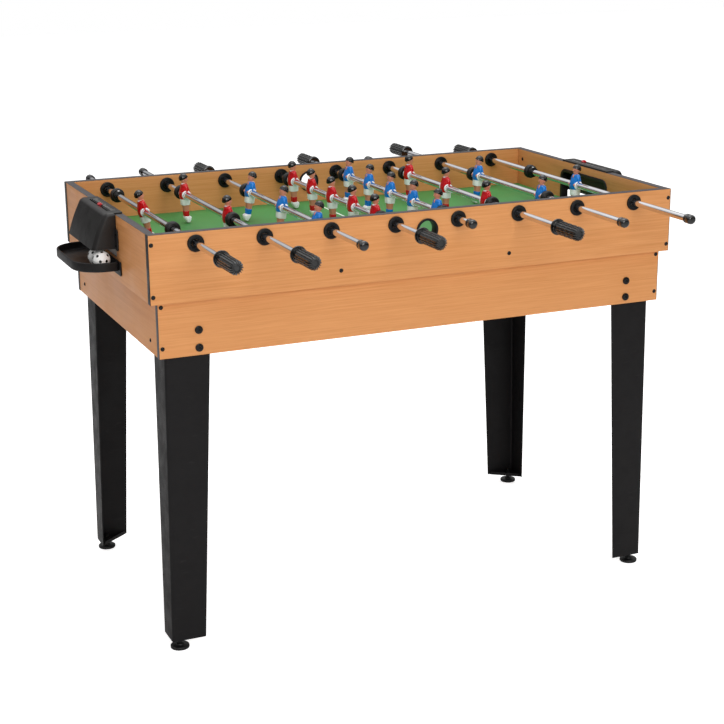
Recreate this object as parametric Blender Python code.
"""Foosball table: a cabinet on a lower frame and four angle legs, with eight sliding, spinning player rods.

Metres. +X runs along the table's length, +Y across it, +Z up. The origin is on the floor below the
table's centre. The near side is -Y. A rod's own frame has its origin in the middle of its travel.
"""

import math

import bmesh
import bpy
from mathutils import Matrix, Vector

# Overall sizes
LENGTH = 1.070
WIDTH = 0.610
TOP = 0.8025
CABINET_HEIGHT = 0.125
FRAME_HEIGHT = 0.102
GAP = 0.0003

# Cabinet and playfield
PANEL = 0.015
FIELD_DROP = 0.0800
FIELD_BOARD = 0.005
BATTEN_X = 0.174
BATTEN_WIDTH = 0.030
BATTEN_CLEAR = 0.016
GOAL_WIDTH = 0.180
GOAL_TOP_DROP = 0.0205
GOAL_CORNER = 0.014
ENTRY_RADIUS = 0.0185
ENTRY_RIM = 0.0225
ENTRY_DROP = 0.0365
ENTRY_PROUD = 0.003

# Lower frame and legs
FRAME_INSET_X = 0.015
FRAME_INSET_Y = 0.011
FRAME_BOARD = 0.0125
LEG_SHEET = 0.002
LEG_IN_FRAME = 0.085
LEG_FRONT_TOP = 0.085
LEG_FRONT_FOOT = 0.066
LEG_SIDE_TOP = 0.068
LEG_SIDE_FOOT = 0.052
LEG_SPLAY = 0.008
LEG_CLEAR = 0.0185
PAD_RADIUS = 0.018
PAD_HEIGHT = 0.006
PAD_STEM = 0.007
PAD_IN_X = 0.018
PAD_IN_Y = 0.0140
BOLT_IN = 0.074
BOLT_DROPS = (0.055, 0.088)
BOLT_RADIUS = 0.003
BOLT_HEAD = 0.0075
BOLT_HEAD_HEIGHT = 0.003
NUT_RADIUS = 0.006
NUT_HEIGHT = 0.005

# Rods and what is on them
ROD_COUNT = 8
END_ROOM = 0.0706
ROD_DROP = 0.0203
ROD_RADIUS = 0.00635
ROD_RUNNING = 0.0003
BUSH_RADIUS = 0.0155
BUSH_PROUD = 0.004
BUMPER_RADIUS = 0.0145
BUMPER_LENGTH = 0.012
COLLAR_RADIUS = 0.0105
COLLAR_LENGTH = 0.010
COLLAR_AT = 0.180
MAN_TO_BUMPER = 0.0245
STOP_CLEAR = 0.0005
CAP_RADIUS = 0.009
CAP_LENGTH = 0.020
CAP_STAND_OFF = 0.007
GRIP_STAND_OFF = 0.073
GRIP_LENGTH = 0.081
GRIP_RADIUS = 0.0130
GRIP_FLANGE = 0.0152
GRIP_NECK = 0.0095
GRIP_SOCKET = 0.050

# Goal housings and score sliders
HOOD_PAST_GOAL = 0.005
HOOD_WALL = 0.0025
HOOD_TOP_OUT = 0.020
HOOD_FOOT_OUT = 0.047
HOOD_DROP = 0.0635
HOOD_PLATE = 0.0033
HOOD_PLATE_LIP = 0.0005
HOOD_EAR = 0.013
HOOD_EAR_HEIGHT = 0.037
TRAY_OUT = 0.079
TRAY_PAST_HOOD = 0.014
TRAY_CORNER = 0.056
TRAY_BELOW_FIELD = 0.0055
TRAY_DEPTH = 0.0175
TRAY_EAR = 0.012
TRAY_EAR_DROP = 0.008
SLOT_OUT = 0.0055
SLOT_WIDTH = 0.005
SLOT_HALF = 0.0665
SLIDER_LENGTH = 0.008
SLIDER_HEAD = 0.009
SLIDER_HEAD_HEIGHT = 0.0045
SLIDER_FOOT = 0.008
SLIDER_FOOT_HEIGHT = 0.002
SLIDER_STEM_CLEAR = 0.0005
SLIDER_REST = {"left": -0.002, "right": 0.034}

# Playing figures, heights from the rod's axis
FOOT_CLEAR = 0.0022
HEAD_ABOVE = 0.0430
FIGURE_HALF = 0.0120

SIDES = 12

# Each rod: team, side of its handle, figure pitch, figure count, slide at rest as a share of its travel to
# one side, turn at rest in degrees
RODS = (
    ("red", -1, 0.0, 1, 0.25, -12.0),
    ("red", -1, 0.273, 2, 0.25, -2.0),
    ("blue", 1, 0.182, 3, -0.73, 8.0),
    ("red", -1, 0.108, 5, 0.05, -2.0),
    ("blue", 1, 0.108, 5, 0.025, 3.0),
    ("red", -1, 0.179, 3, 0.065, 0.0),
    ("blue", 1, 0.273, 2, -0.25, 4.0),
    ("blue", 1, 0.0, 1, -0.96, 3.0),
)

# Worked out from the sizes above
CABINET_FLOOR = TOP - CABINET_HEIGHT
FRAME_FLOOR = CABINET_FLOOR - FRAME_HEIGHT
FIELD_TOP = TOP - FIELD_DROP
ROD_Z = TOP - ROD_DROP
INNER_X = LENGTH / 2 - PANEL
INNER_Y = WIDTH / 2 - PANEL
FRAME_X = LENGTH / 2 - FRAME_INSET_X
FRAME_Y = WIDTH / 2 - FRAME_INSET_Y
BORE_RADIUS = (ROD_RADIUS + ROD_RUNNING) / math.cos(math.pi / SIDES)
ROD_PITCH = 2 * (INNER_X - END_ROOM) / (ROD_COUNT - 1)
FOOT_BELOW = ROD_Z - FIELD_TOP - FOOT_CLEAR
HOOD_HALF = GOAL_WIDTH / 2 + HOOD_PAST_GOAL
TRAY_HALF = HOOD_HALF + TRAY_PAST_HOOD
TRAY_RIM = FIELD_TOP - TRAY_BELOW_FIELD


def material(name, colour, roughness, metallic=0.0):
    """A Principled material in one colour."""
    made = bpy.data.materials.new(name)
    made.use_nodes = True
    shader = made.node_tree.nodes["Principled BSDF"]
    shader.inputs["Base Color"].default_value = (*colour, 1.0)
    shader.inputs["Roughness"].default_value = roughness
    shader.inputs["Metallic"].default_value = metallic
    made.diffuse_color = (*colour, 1.0)
    return made


def plug(radius, low, high, finish, sides=SIDES):
    """A closed cylinder about the Y axis, between two places along it."""
    return turned("plug", [(0.0, low), (radius, low), (radius, high), (0.0, high)], finish, sides=sides)


def new_object(name, points, faces, finish):
    """One object from points and faces, with its faces turned outwards."""
    mesh = bpy.data.meshes.new(name)
    mesh.from_pydata([tuple(p) for p in points], [], faces)
    shape = bmesh.new()
    shape.from_mesh(mesh)
    bmesh.ops.recalc_face_normals(shape, faces=shape.faces)
    shape.to_mesh(mesh)
    shape.free()
    mesh.materials.append(finish)
    made = bpy.data.objects.new(name, mesh)
    bpy.context.collection.objects.link(made)
    return made


def prism(name, outline, low, high, axis, finish):
    """A closed outline in the plane across axis, extruded from low to high along it."""
    count = len(outline)

    def place(a, b, along):
        return {"X": (along, a, b), "Y": (a, along, b), "Z": (a, b, along)}[axis]

    points = [place(a, b, low) for a, b in outline] + [place(a, b, high) for a, b in outline]
    walls = [(i, (i + 1) % count, (i + 1) % count + count, i + count) for i in range(count)]
    return new_object(name, points, walls + [tuple(range(count)), tuple(range(count, 2 * count))], finish)


def box(name, low, high, finish):
    """A box between two corners."""
    outline = ((low[0], low[1]), (high[0], low[1]), (high[0], high[1]), (low[0], high[1]))
    return prism(name, outline, low[2], high[2], "Z", finish)


def turned(name, profile, finish, closed=False, sides=SIDES):
    """A profile of (radius, y) turned about the Y axis. An open profile starts and ends on the axis."""
    points = []
    rings = []
    for radius, y in profile:
        if radius == 0.0:
            rings.append([len(points)] * sides)
            points.append((0.0, y, 0.0))
            continue
        rings.append([len(points) + k for k in range(sides)])
        turns = [2 * math.pi * (k + 0.5) / sides for k in range(sides)]
        points += [(radius * math.cos(t), y, radius * math.sin(t)) for t in turns]
    faces = []
    pairs = list(zip(rings, rings[1:] + rings[:1]))
    for first, second in pairs if closed else pairs[:-1]:
        for k in range(sides):
            corners = (first[k], first[(k + 1) % sides], second[(k + 1) % sides], second[k])
            faces.append(tuple(dict.fromkeys(corners)))
    made = new_object(name, points, faces, finish)
    made.data.shade_smooth()
    made.data.set_sharp_from_angle(angle=math.radians(35))
    return made


def shift(made, offset):
    """Moves an object's mesh, not its origin."""
    made.data.transform(Matrix.Translation(Vector(offset)))
    return made


def discard(made):
    """Removes an object that was only a tool."""
    mesh = made.data
    bpy.data.objects.remove(made)
    bpy.data.meshes.remove(mesh)


def joined(tools):
    """Several tools as one mesh. They don't touch each other."""
    first = tools[0]
    shape = bmesh.new()
    for tool in tools:
        shape.from_mesh(tool.data)
    shape.to_mesh(first.data)
    shape.free()
    for tool in tools[1:]:
        discard(tool)
    return first


def combine(target, tool, operation):
    """Adds the tool's solid to the target's (UNION), or takes it away (DIFFERENCE), and drops the tool."""
    step = target.modifiers.new("combine", "BOOLEAN")
    step.operation = operation
    step.object = tool
    graph = bpy.context.evaluated_depsgraph_get()
    result = bpy.data.meshes.new_from_object(target.evaluated_get(graph))
    target.modifiers.clear()
    old = target.data
    target.data = result
    result.name = target.name
    bpy.data.meshes.remove(old)
    discard(tool)
    return target


def empty(name, location, turn=0.0):
    """A parent on a joint's axis, turned about Y."""
    made = bpy.data.objects.new(name, None)
    made.empty_display_size = 0.02
    made.location = location
    made.rotation_euler = (0.0, math.radians(turn), 0.0)
    bpy.context.collection.objects.link(made)
    return made


def rod_x(number):
    """The place along the table of rod 1 to 8."""
    return (number - (ROD_COUNT + 1) / 2) * ROD_PITCH


def figure_places(pitch, count):
    """Where a rod's figures sit along it, in the rod's own frame."""
    return [(i - (count - 1) / 2) * pitch for i in range(count)]


def stop_centre(pitch, count):
    """The middle of the bumper on either side, in the rod's own frame."""
    if count == 1:
        return COLLAR_AT + COLLAR_LENGTH / 2 + GAP + BUMPER_LENGTH / 2
    return pitch * (count - 1) / 2 + MAN_TO_BUMPER


def half_travel(pitch, count):
    """How far a rod slides each way from its middle, until a bumper meets the bush."""
    return INNER_Y - BUSH_PROUD - stop_centre(pitch, count) - BUMPER_LENGTH / 2 - STOP_CLEAR


def arc(centre, radius, start, end, steps):
    """Points on an arc, angles in degrees, both ends included."""
    turns = [math.radians(start + (end - start) * k / steps) for k in range(steps + 1)]
    return [(centre[0] + radius * math.cos(t), centre[1] + radius * math.sin(t)) for t in turns]


def build_side_panel(name, side, wood):
    """A long cabinet side with a flanged bush for each rod and a rimmed ball hole in the middle."""
    outer = side * WIDTH / 2
    inner = side * INNER_Y
    low_y, high_y = min(outer, inner), max(outer, inner)
    panel = box(name, (-LENGTH / 2, low_y, CABINET_FLOOR + GAP), (LENGTH / 2, high_y, TOP), wood)
    low_end = low_y - BUSH_PROUD
    high_end = high_y + BUSH_PROUD
    bushes = []
    bores = []
    for number in range(1, ROD_COUNT + 1):
        centre = (rod_x(number), 0.0, ROD_Z)
        bushes.append(shift(plug(BUSH_RADIUS, low_end, high_end, wood), centre))
        bores.append(shift(plug(BORE_RADIUS, low_end - GAP, high_end + GAP, wood), centre))
    entry = (0.0, 0.0, TOP - ENTRY_DROP)
    fine = 2 * SIDES
    bushes.append(shift(plug(ENTRY_RIM, outer - ENTRY_PROUD, outer + ENTRY_PROUD, wood, sides=fine), entry))
    bores.append(shift(plug(ENTRY_RADIUS, low_end, high_end, wood, sides=fine), entry))
    combine(panel, joined(bushes), "UNION")
    return combine(panel, joined(bores), "DIFFERENCE")


def build_end_panel(name, side, wood):
    """A short cabinet end, between the side panels, with the goal mouth cut through it."""
    xs = sorted((side * LENGTH / 2, side * INNER_X))
    half = INNER_Y - GAP
    panel = box(name, (xs[0], -half, CABINET_FLOOR + GAP), (xs[1], half, TOP), wood)
    reach = GOAL_WIDTH / 2
    sill = FIELD_TOP
    lintel = TOP - GOAL_TOP_DROP
    crown = lintel - GOAL_CORNER
    mouth = [(-reach, sill), (reach, sill)]
    mouth += arc((reach - GOAL_CORNER, crown), GOAL_CORNER, 0, 90, 3)
    mouth += arc((GOAL_CORNER - reach, crown), GOAL_CORNER, 90, 180, 3)
    return combine(panel, prism("mouth", mouth, xs[0] - PANEL, xs[1] + PANEL, "X", wood), "DIFFERENCE")


def build_playfield(green):
    """The green board, with two battens below it."""
    half_x = INNER_X - GAP
    half_y = INNER_Y - GAP
    low = FIELD_TOP - FIELD_BOARD
    board = box("playfield", (-half_x, -half_y, low), (half_x, half_y, FIELD_TOP), green)
    battens = []
    for side in (-1, 1):
        edges = (side * BATTEN_X - BATTEN_WIDTH / 2, side * BATTEN_X + BATTEN_WIDTH / 2)
        corner = (edges[0], -half_y, CABINET_FLOOR + BATTEN_CLEAR)
        battens.append(box("batten", corner, (edges[1], half_y, low + FIELD_BOARD / 2), green))
    return combine(board, joined(battens), "UNION")


def bolt_places(side_x):
    """The two bolts of a leg, as (x, z)."""
    return [(side_x * (FRAME_X - BOLT_IN), CABINET_FLOOR - drop) for drop in BOLT_DROPS]


def build_lower_frame(wood):
    """Four boards under the cabinet, drilled for the leg bolts."""
    frame = box("lower_frame", (-FRAME_X, -FRAME_Y, FRAME_FLOOR), (FRAME_X, FRAME_Y, CABINET_FLOOR), wood)
    reach_x = FRAME_X - FRAME_BOARD
    reach_y = FRAME_Y - FRAME_BOARD
    below = FRAME_FLOOR - FRAME_BOARD
    above = CABINET_FLOOR + FRAME_BOARD
    combine(frame, box("inside", (-reach_x, -reach_y, below), (reach_x, reach_y, above), wood), "DIFFERENCE")
    radius = BOLT_RADIUS + GAP
    holes = []
    for side_x in (-1, 1):
        for x, z in bolt_places(side_x):
            holes.append(shift(plug(radius, -WIDTH, WIDTH, wood, sides=8), (x, 0.0, z)))
    return combine(frame, joined(holes), "DIFFERENCE")


def angle_section(corner, front, side, side_x, side_y, z):
    """The six corners of an angle section that opens towards the table's middle."""
    x, y = corner
    steps = (
        (0.0, 0.0),
        (front, 0.0),
        (front, LEG_SHEET),
        (LEG_SHEET, LEG_SHEET),
        (LEG_SHEET, side),
        (0.0, side),
    )
    return [(side_x * (x - a), side_y * (y - b), z) for a, b in steps]


def build_leg(name, side_x, side_y, steel):
    """A tapered angle leg with a corner plate at its foot, a levelling pad and its two bolts."""
    top = (FRAME_X - FRAME_BOARD - GAP, FRAME_Y - FRAME_BOARD - GAP)
    foot = (top[0] + LEG_SPLAY, top[1])
    knee = FRAME_FLOOR - GAP
    levels = (
        (top, LEG_FRONT_TOP, LEG_SIDE_TOP, FRAME_FLOOR + LEG_IN_FRAME),
        (top, LEG_FRONT_TOP, LEG_SIDE_TOP, knee),
        (foot, LEG_FRONT_FOOT, LEG_SIDE_FOOT, LEG_CLEAR),
    )
    points = []
    for corner, front, side, z in levels:
        points += angle_section(corner, front, side, side_x, side_y, z)
    faces = [tuple(range(6)), tuple(range(12, 18))]
    for level in (0, 6):
        faces += [(level + k, level + (k + 1) % 6, level + 6 + (k + 1) % 6, level + 6 + k) for k in range(6)]
    leg = new_object(name, points, faces, steel)
    half = LEG_SHEET / 2
    plate_steps = ((half, half), (LEG_FRONT_FOOT - half, half), (half, LEG_SIDE_FOOT - half))
    plate = [(side_x * (foot[0] - a), side_y * (foot[1] - b)) for a, b in plate_steps]
    plate_low = LEG_CLEAR + half / 2
    combine(leg, prism("plate", plate, plate_low, plate_low + LEG_SHEET, "Z", steel), "UNION")
    pad = [(0.0, 0.0), (PAD_RADIUS, 0.0), (PAD_RADIUS, PAD_HEIGHT), (PAD_STEM, PAD_HEIGHT)]
    pad += [(PAD_STEM, LEG_CLEAR + LEG_SHEET), (0.0, LEG_CLEAR + LEG_SHEET)]
    stand = turned("pad", pad, steel)
    stand.data.transform(Matrix.Rotation(math.pi / 2, 4, "X"))
    shift(stand, (side_x * (foot[0] - PAD_IN_X), side_y * (foot[1] - PAD_IN_Y), 0.0))
    combine(leg, stand, "UNION")
    face = FRAME_Y + GAP
    inner = top[1] - LEG_SHEET / 2
    bolt = [(0.0, face + BOLT_HEAD_HEIGHT), (BOLT_HEAD, face + BOLT_HEAD_HEIGHT), (BOLT_HEAD, face)]
    bolt += [(BOLT_RADIUS, face), (BOLT_RADIUS, inner), (NUT_RADIUS, inner)]
    bolt += [(NUT_RADIUS, inner - NUT_HEIGHT), (0.0, inner - NUT_HEIGHT)]
    profile = [(radius, side_y * y) for radius, y in bolt]
    bolts = [shift(turned("bolt", profile, steel, sides=8), (x, 0.0, z)) for x, z in bolt_places(side_x)]
    return combine(leg, joined(bolts), "UNION")


def tray_outline(side, inset, start):
    """The tray's plan, straight at start and round at its outer corners, drawn in by inset."""
    out = LENGTH / 2 + GAP + TRAY_OUT - inset
    half = TRAY_HALF - inset
    bend = TRAY_CORNER - inset
    plan = [(start, half)]
    plan += arc((out - bend, half - bend), bend, 90, 0, 5)
    plan += [(x, -y) for x, y in arc((out - bend, half - bend), bend, 0, 90, 5)]
    plan.append((start, -half))
    return [(side * x, y) for x, y in plan]


def build_goal_housing(name, side, plastic):
    """The moulding outside a goal: a hood with a slotted top plate, side ears, and the ball tray below."""
    face = LENGTH / 2
    near = face + GAP
    sill = TOP - HOOD_DROP
    top = TOP + GAP
    shell = [(INNER_X + GAP, top), (INNER_X + GAP, top + HOOD_PLATE), (face + HOOD_TOP_OUT, top + HOOD_PLATE)]
    shell += [(face + HOOD_FOOT_OUT, sill), (near, sill), (near, top)]
    hood = prism(name, [(side * x, z) for x, z in shell], -HOOD_HALF, HOOD_HALF, "Y", plastic)
    ear_half = HOOD_HALF + HOOD_EAR
    ear_x = sorted((side * near, side * (near + HOOD_WALL)))
    ear_low = (ear_x[0], -ear_half, sill - HOOD_WALL)
    ear_high = (ear_x[1], ear_half, sill + HOOD_EAR_HEIGHT)
    combine(hood, box("ears", ear_low, ear_high, plastic), "UNION")
    rim = TRAY_RIM
    floor = rim - TRAY_DEPTH
    tray = prism("tray", tray_outline(side, 0.0, near), floor, rim, "Z", plastic)
    web = (ear_x[0], -HOOD_HALF, floor + HOOD_WALL), (ear_x[1], HOOD_HALF, sill)
    combine(hood, box("web", *web, plastic), "UNION")
    combine(hood, tray, "UNION")
    tray_ear = TRAY_HALF + TRAY_EAR
    strip_low = (ear_x[0], -tray_ear, floor - TRAY_EAR_DROP)
    combine(hood, box("strip", strip_low, (ear_x[1], tray_ear, rim), plastic), "UNION")
    inside = HOOD_HALF - HOOD_WALL
    ceiling = TOP - HOOD_PLATE_LIP
    lean = (HOOD_FOOT_OUT - HOOD_TOP_OUT) / (HOOD_DROP + HOOD_PLATE)
    low = rim - HOOD_WALL
    hollow = [(INNER_X, low), (INNER_X, ceiling), (face + HOOD_TOP_OUT - HOOD_WALL, ceiling)]
    hollow += [(face + HOOD_TOP_OUT - HOOD_WALL + lean * (ceiling - low), low)]
    room = prism("room", [(side * x, z) for x, z in hollow], -inside, inside, "Y", plastic)
    combine(hood, room, "DIFFERENCE")
    well_plan = tray_outline(side, HOOD_WALL, near + HOOD_WALL)
    well = prism("well", well_plan, floor + HOOD_WALL, sill - HOOD_WALL - GAP, "Z", plastic)
    combine(hood, well, "DIFFERENCE")
    slot_x = sorted((side * (face + SLOT_OUT - SLOT_WIDTH / 2), side * (face + SLOT_OUT + SLOT_WIDTH / 2)))
    slot = box("slot", (slot_x[0], -SLOT_HALF, ceiling - PANEL), (slot_x[1], SLOT_HALF, TOP + PANEL), plastic)
    return combine(hood, slot, "DIFFERENCE")


def build_score_slider(name, side, rest, plastic):
    """A pointer that runs in the hood's slot: a head above the plate, a stem through it and a foot below."""
    plate_low = TOP - HOOD_PLATE_LIP - GAP
    plate_high = TOP + GAP + HOOD_PLATE + GAP
    stem = SLOT_WIDTH / 2 - SLIDER_STEM_CLEAR
    head = SLIDER_HEAD / 2
    base = SLIDER_FOOT / 2
    half = [(base, plate_low - SLIDER_FOOT_HEIGHT), (base, plate_low), (stem, plate_low), (stem, plate_high)]
    half += [(head, plate_high), (head / 2, plate_high + SLIDER_HEAD_HEIGHT)]
    outline = half + [(-a, z) for a, z in reversed(half)]
    made = prism(name, outline, -SLIDER_LENGTH / 2, SLIDER_LENGTH / 2, "Y", plastic)
    made.location = (side * (LENGTH / 2 + SLOT_OUT), rest, 0.0)
    return made


def shaft_profile(hand, pitch, count):
    """A rod's profile from its cap to the end inside its grip, with its cap, a bumper and any collars."""
    travel = half_travel(pitch, count)
    cap_inner = WIDTH / 2 + travel + CAP_STAND_OFF
    cap_tip = cap_inner + CAP_LENGTH
    grip = WIDTH / 2 + travel + GRIP_STAND_OFF
    half_bumper = BUMPER_LENGTH / 2
    stop = stop_centre(pitch, count)
    bumper = (BUMPER_RADIUS, stop - half_bumper, stop + half_bumper)
    steps = [bumper] if hand < 0 else [(bumper[0], -bumper[2], -bumper[1])]
    if count == 1:
        half_collar = COLLAR_LENGTH / 2
        inner = COLLAR_AT - half_collar
        outer = COLLAR_AT + half_collar
        if hand < 0:
            steps = [(COLLAR_RADIUS, inner, outer - GAP), steps[0]]
            steps.append((COLLAR_RADIUS, -outer, -inner))
        else:
            steps = [steps[0], (COLLAR_RADIUS, inner, outer)]
            steps.append((COLLAR_RADIUS, -outer + GAP, -inner))
    ends = (grip + GRIP_SOCKET, cap_tip)
    profile = [(0.0, -ends[0]), (ROD_RADIUS, -ends[0])] if hand < 0 else cap_end(-cap_tip, -cap_inner)
    for radius, start, end in sorted(steps, key=lambda step: step[1]):
        profile += [(ROD_RADIUS, start), (radius, start), (radius, end), (ROD_RADIUS, end)]
    if hand < 0:
        return profile + list(reversed(cap_end(cap_tip, cap_inner)))
    return profile + [(ROD_RADIUS, ends[0]), (0.0, ends[0])]


def cap_end(tip, inner):
    """The domed cap on a rod's end, from its tip to where it meets the bare rod."""
    reach = inner - tip
    return [
        (0.0, tip),
        (0.6 * CAP_RADIUS, tip + 0.06 * reach),
        (CAP_RADIUS, tip + 0.3 * reach),
        (CAP_RADIUS, inner),
        (ROD_RADIUS, inner),
    ]


def build_grip(name, hand, pitch, count, plastic):
    """A handle, hollow at its inner end, where the rod's end sits."""
    start = WIDTH / 2 + half_travel(pitch, count) + GRIP_STAND_OFF
    end = start + GRIP_LENGTH
    socket = start + GRIP_SOCKET + GAP
    profile = [
        (0.0, end),
        (0.7 * GRIP_RADIUS, end),
        (GRIP_RADIUS, end - 0.10 * GRIP_LENGTH),
        (GRIP_RADIUS, start + 0.30 * GRIP_LENGTH),
        (GRIP_NECK, start + 0.18 * GRIP_LENGTH),
        (GRIP_FLANGE, start + 0.09 * GRIP_LENGTH),
        (GRIP_FLANGE, start + 0.02 * GRIP_LENGTH),
        (BORE_RADIUS, start),
        (BORE_RADIUS, socket),
        (0.0, socket),
    ]
    return turned(name, [(radius, hand * y) for radius, y in profile], plastic)


def build_bumper(name, hand, pitch, count, rubber):
    """A loose rubber ring on the rod, on the grip's side."""
    centre = hand * stop_centre(pitch, count)
    half = BUMPER_LENGTH / 2
    ring = [(BUMPER_RADIUS, centre - half), (BUMPER_RADIUS, centre + half)]
    ring += [(BORE_RADIUS, centre + half), (BORE_RADIUS, centre - half)]
    return turned(name, ring, rubber, closed=True)


def figure_mesh(finish):
    """A player that faces +X: level sections from boot to hair, then the bore that the rod runs through."""
    boot = FOOT_BELOW
    sections = (
        # height, middle x, half depth, half width
        (-boot, 0.0035, 0.0035, 0.0085),
        (-0.76 * boot, 0.0015, 0.0085, 0.0090),
        (-0.66 * boot, 0.0, 0.0055, 0.0080),
        (-0.42 * boot, 0.0, 0.0062, 0.0090),
        (-0.20 * boot, 0.0, 0.0092, 0.0112),
        (0.16 * boot, 0.0, 0.0092, FIGURE_HALF),
        (0.36 * HEAD_ABOVE, 0.0, 0.0080, FIGURE_HALF),
        (0.50 * HEAD_ABOVE, 0.0, 0.0040, 0.0050),
        (0.62 * HEAD_ABOVE, 0.0, 0.0070, 0.0062),
        (0.88 * HEAD_ABOVE, 0.0, 0.0072, 0.0065),
        (HEAD_ABOVE, 0.0, 0.0038, 0.0034),
    )
    count = 8
    points = []
    for z, middle, depth, width in sections:
        turns = [2 * math.pi * (k + 0.5) / count for k in range(count)]
        bulge = 1.0 / math.cos(math.pi / count)
        points += [(middle + depth * bulge * math.cos(t), width * bulge * math.sin(t), z) for t in turns]
    last = len(sections) - 1
    faces = [tuple(range(count)), tuple(range(last * count, (last + 1) * count))]
    for level in range(last):
        first = level * count
        for k in range(count):
            after = (k + 1) % count
            faces.append((first + k, first + after, first + after + count, first + k + count))
    body = new_object("figure", points, faces, finish)
    reach = 2 * FIGURE_HALF
    combine(body, plug(BORE_RADIUS, -reach, reach, finish), "DIFFERENCE")
    mesh = body.data
    bpy.data.objects.remove(body)
    return mesh


def build_rod(number, finishes, figures):
    """One rod: its loose bumper slides with it, and its shaft, grip and figures slide and turn together."""
    team, hand, pitch, count, share, turn = RODS[number - 1]
    name = f"rod_{number}"
    place = (rod_x(number), share * half_travel(pitch, count), ROD_Z)
    slide = empty(f"{name}_slide", place)
    spin = empty(f"{name}_spin", place, turn)
    build_bumper(f"{name}_bumper", hand, pitch, count, finishes["rubber"]).parent = slide
    shaft = turned(f"{name}_shaft", shaft_profile(hand, pitch, count), finishes["chrome"])
    shaft.parent = spin
    build_grip(f"{name}_handle", hand, pitch, count, finishes["grip"]).parent = spin
    for index, y in enumerate(figure_places(pitch, count), start=1):
        man = bpy.data.objects.new(f"{name}_man_{index}", figures[team])
        bpy.context.collection.objects.link(man)
        man.parent = spin
        man.location = (0.0, y, 0.0)
        man.rotation_euler = (0.0, 0.0, 0.0 if team == "red" else math.pi)


def main():
    """Clears the scene and builds the table."""
    for old in list(bpy.data.objects):
        bpy.data.objects.remove(old)
    finishes = {
        "wood": material("beech laminate", (0.72, 0.42, 0.20), 0.45),
        "green": material("green playfield", (0.05, 0.33, 0.10), 0.5),
        "steel": material("black painted steel", (0.02, 0.02, 0.02), 0.5, 0.3),
        "chrome": material("chromed steel", (0.75, 0.75, 0.77), 0.15, 1.0),
        "grip": material("black grip plastic", (0.015, 0.015, 0.015), 0.5),
        "rubber": material("black rubber", (0.02, 0.02, 0.02), 0.8),
        "housing": material("black moulded plastic", (0.02, 0.02, 0.02), 0.45),
        "pointer": material("red pointer plastic", (0.70, 0.03, 0.03), 0.4),
    }
    figures = {
        "red": figure_mesh(material("red figure plastic", (0.65, 0.03, 0.03), 0.4)),
        "blue": figure_mesh(material("blue figure plastic", (0.03, 0.20, 0.62), 0.4)),
    }
    build_side_panel("side_panel_near", -1, finishes["wood"])
    build_side_panel("side_panel_far", 1, finishes["wood"])
    build_playfield(finishes["green"])
    build_lower_frame(finishes["wood"])
    for word_x, side_x in (("left", -1), ("right", 1)):
        build_end_panel(f"end_panel_{word_x}", side_x, finishes["wood"])
        build_goal_housing(f"goal_housing_{word_x}", side_x, finishes["housing"])
        build_score_slider(f"score_slider_{word_x}", side_x, SLIDER_REST[word_x], finishes["pointer"])
        for word_y, side_y in (("near", -1), ("far", 1)):
            build_leg(f"leg_{word_y}_{word_x}", side_x, side_y, finishes["steel"])
    for number in range(1, ROD_COUNT + 1):
        build_rod(number, finishes, figures)


main()
